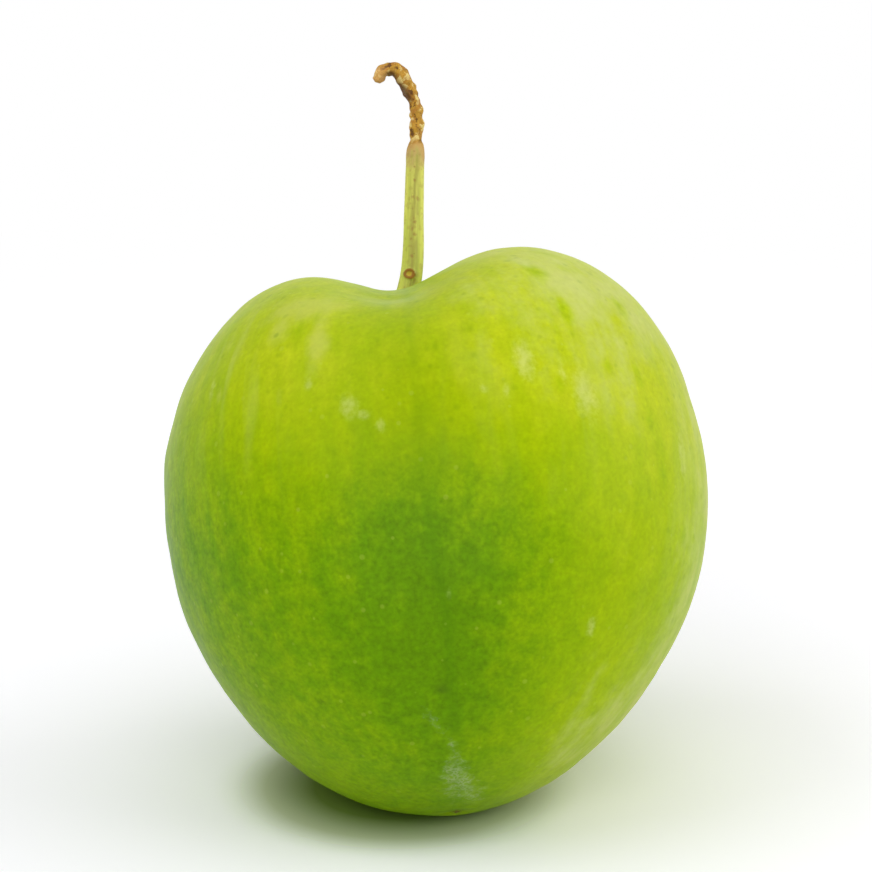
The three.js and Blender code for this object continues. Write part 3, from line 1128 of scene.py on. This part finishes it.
def make_stem():
    """The stem, from inside its collar of skin to its dried end."""
    route, length = stem_route()
    ways, fronts, sides = carried_frames(route)
    rings = np.linspace(0, length, STEM_STEPS)
    columns = np.linspace(0, 2 * math.pi, STEM_SIDES, endpoint=False)
    along, turned = np.meshgrid(rings, columns, indexing="ij")
    share = along / length
    radius, raised = stem_radius(along, length, turned)
    gap = eye_gap(along, turned, radius)
    radius = radius + swell(gap, EYE_RIM_SWELL) - swell(gap, EYE_DIP)

    c, s = np.cos(turned)[..., None], np.sin(turned)[..., None]
    around = fronts[:, None] * c + sides[:, None] * s
    inside = hook_inside(around, route, share)
    skin = route[:, None] + around * radius[..., None]
    skin = skin + around * bark_relief(skin, share, inside)[..., None]
    first = route[0] - ways[0] * END_BULGES[0]
    last = route[-1] + ways[-1] * END_BULGES[1]
    axes = np.vstack([skin.reshape(-1, 3), first, last])

    angle = with_ends(turned)
    height = with_ends(along) * FIBRE_SQUEEZE
    rows = 1 - MAP_MARGIN - (1 - 2 * MAP_MARGIN) * np.linspace(0, 1, STEM_STEPS)
    return make_piece(
        "plum_stem",
        at_rest(axes),
        tube_faces(STEM_STEPS, STEM_SIDES),
        tube_map(STEM_STEPS, STEM_SIDES, rows, np.linspace(0, 1, STEM_SIDES + 1)),
        stem_marks(*(with_ends(values) for values in (share, turned, raised, inside, gap))),
        {"stem_axes": axes, "fibre": np.stack([np.sin(angle), np.cos(angle), height], axis=-1)},
        stem_material(),
    )


# --- Floor, light and camera ---

FLOOR_RADIUS = 3.0
FLOOR_SIDES = 96
FLOOR_FADE = (0.05, 0.12)  # metres from the origin over which the floor turns plain white
FLOOR_SEEN = (1.26, 1.25, 1.3)  # colour that the camera sees, over 1 so that it comes out white
FLOOR_BOUNCE = (0.75, 0.75, 0.75)  # colour that lights the fruit from below
# A dark shadow is painted on the floor close under the fruit, on top of the rendered one.
CONTACT_SHADOW_PLACE = (-0.0024, -0.001, 0.0)  # middle of the dark shadow close under the fruit
CONTACT_SHADOW_REACH = 0.0122
CONTACT_SHADOW_RAMP = [  # from the shadow's middle out
    (0.0, (0.09, 0.15, 0.01)),
    (0.45, (0.16, 0.22, 0.05)),
    (0.72, (0.48, 0.52, 0.36)),
    (0.9, (0.9, 0.92, 0.86)),
    (1.0, (1.0, 1.0, 1.0)),
]
WORLD_SEEN = (1.0, 1.0, 1.0)
WORLD_LIGHT = (0.08, 0.08, 0.08)

# Softboxes, as (place, width, height, brightness), in metres. A brightness of 1 is as bright as
# the background.
SOFTBOXES = {
    "overhead": ((0.05, 0.16, 0.55), 0.8, 0.7, 0.95),
    "right": ((0.58, 0.0, 0.22), 0.6, 0.36, 2.5),
    "left": ((-0.42, -0.08, 0.52), 0.6, 0.5, 1.4),
    "front": ((-0.08, -0.8, 0.32), 1.2, 0.8, 1.45),
}
SOFTBOX_AIM = (0, 0, 0.02)

CAMERA_ELEVATION = math.radians(20)
CAMERA_LENS = 300.0
CAMERA_SENSOR = 36.0
CAMERA_CLIP = (0.01, 20.0)
FRAME_FILL = 0.86  # share of the frame's height that the fruit and stem take


def seen_share(s):
    """1 for rays that show the background as it looks, and 0 for rays that carry its light."""
    path = s.node("ShaderNodeLightPath").outputs
    kinds = ("Is Camera Ray", "Is Glossy Ray", "Is Transmission Ray")
    return s.math("MAXIMUM", *(path[kind] for kind in kinds))


def floor_material():
    """Pale floor that keeps the shadow near the fruit and turns plain white further out. Close
    under the fruit a darker shadow is painted on it.
    """
    material, s = new_material("floor")
    place = s.node("ShaderNodeTexCoord").outputs["Object"]
    far = s.span(s.distance(place, (0.0, 0.0, 0.0)), *FLOOR_FADE)
    seen = seen_share(s)
    close = s.math("DIVIDE", s.distance(place, CONTACT_SHADOW_PLACE), CONTACT_SHADOW_REACH)
    # the painted shadow, for rays that show the floor as it looks
    shown = s.multiply(FLOOR_SEEN, s.ramp(close, CONTACT_SHADOW_RAMP))
    matt = s.node("ShaderNodeBsdfDiffuse", s.mix(seen, FLOOR_BOUNCE, shown))
    white = s.node("ShaderNodeEmission")
    s.end(s.blend(s.times(far, seen), matt, white))
    return material


def make_floor():
    """A round floor, level with the flat spot."""
    mesh = bpy.data.meshes.new("floor")
    angles = [2 * math.pi * i / FLOOR_SIDES for i in range(FLOOR_SIDES)]
    rim = [(FLOOR_RADIUS * math.cos(a), FLOOR_RADIUS * math.sin(a), 0) for a in angles]
    mesh.from_pydata(rim, [], [tuple(range(FLOOR_SIDES))])
    mesh.materials.append(floor_material())
    floor = bpy.data.objects.new("floor", mesh)
    floor.location = (0, 0, cad_low.z)
    bpy.context.collection.objects.link(floor)
    return floor


def make_world():
    """White to the eye, and a plain soft light on the fruit."""
    world = bpy.data.worlds.new("studio")
    world.use_nodes = True
    bpy.context.scene.world = world
    s = Shader(world.node_tree)
    light, seen = (s.node("ShaderNodeBackground", colour) for colour in (WORLD_LIGHT, WORLD_SEEN))
    s.end(s.blend(seen_share(s), light, seen), kind="ShaderNodeOutputWorld")


def make_softbox(name, place, width, height, brightness):
    """A large soft lamp that faces the fruit."""
    lamp = bpy.data.lights.new(name, "AREA")
    lamp.shape = "RECTANGLE"
    lamp.size, lamp.size_y = width, height
    lamp.energy = brightness * math.pi * width * height
    box = bpy.data.objects.new(name, lamp)
    box.location = place
    toward = Vector(SOFTBOX_AIM) - Vector(place)
    box.rotation_euler = toward.to_track_quat("-Z", "Y").to_euler()
    box.visible_camera = False
    bpy.context.collection.objects.link(box)


def make_camera(pieces):
    """Looks down on the fruit a little, straight at the suture, with all of it in frame."""
    toward = Vector((0, math.cos(CAMERA_ELEVATION), -math.sin(CAMERA_ELEVATION)))
    up = Vector((0, math.sin(CAMERA_ELEVATION), math.cos(CAMERA_ELEVATION)))
    points = [vertex.co for piece in pieces for vertex in piece.data.vertices]
    heights = [point @ up for point in points]
    asides = [point.x for point in points]
    tall = max(heights) - min(heights)
    middle = up * (max(heights) + min(heights)) / 2
    middle.x = (max(asides) + min(asides)) / 2
    data = bpy.data.cameras.new("camera")
    data.lens, data.sensor_width = CAMERA_LENS, CAMERA_SENSOR
    data.clip_start, data.clip_end = CAMERA_CLIP
    camera = bpy.data.objects.new("camera", data)
    camera.location = middle - toward * (tall / FRAME_FILL * CAMERA_LENS / CAMERA_SENSOR)
    camera.rotation_euler = toward.to_track_quat("-Z", "Y").to_euler()
    bpy.context.collection.objects.link(camera)
    bpy.context.scene.camera = camera


fruit = make_fruit()
stem = make_stem()
for piece, node, slot in ((fruit, "fruit", "green_skin"), (stem, "stem", "lime_bark")):
    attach(piece, "root")
    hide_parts(node)
make_floor()
make_world()
for name, softbox in SOFTBOXES.items():
    make_softbox(name, *softbox)
make_camera([fruit, stem])
bpy.context.scene.view_settings.view_transform = "Standard"
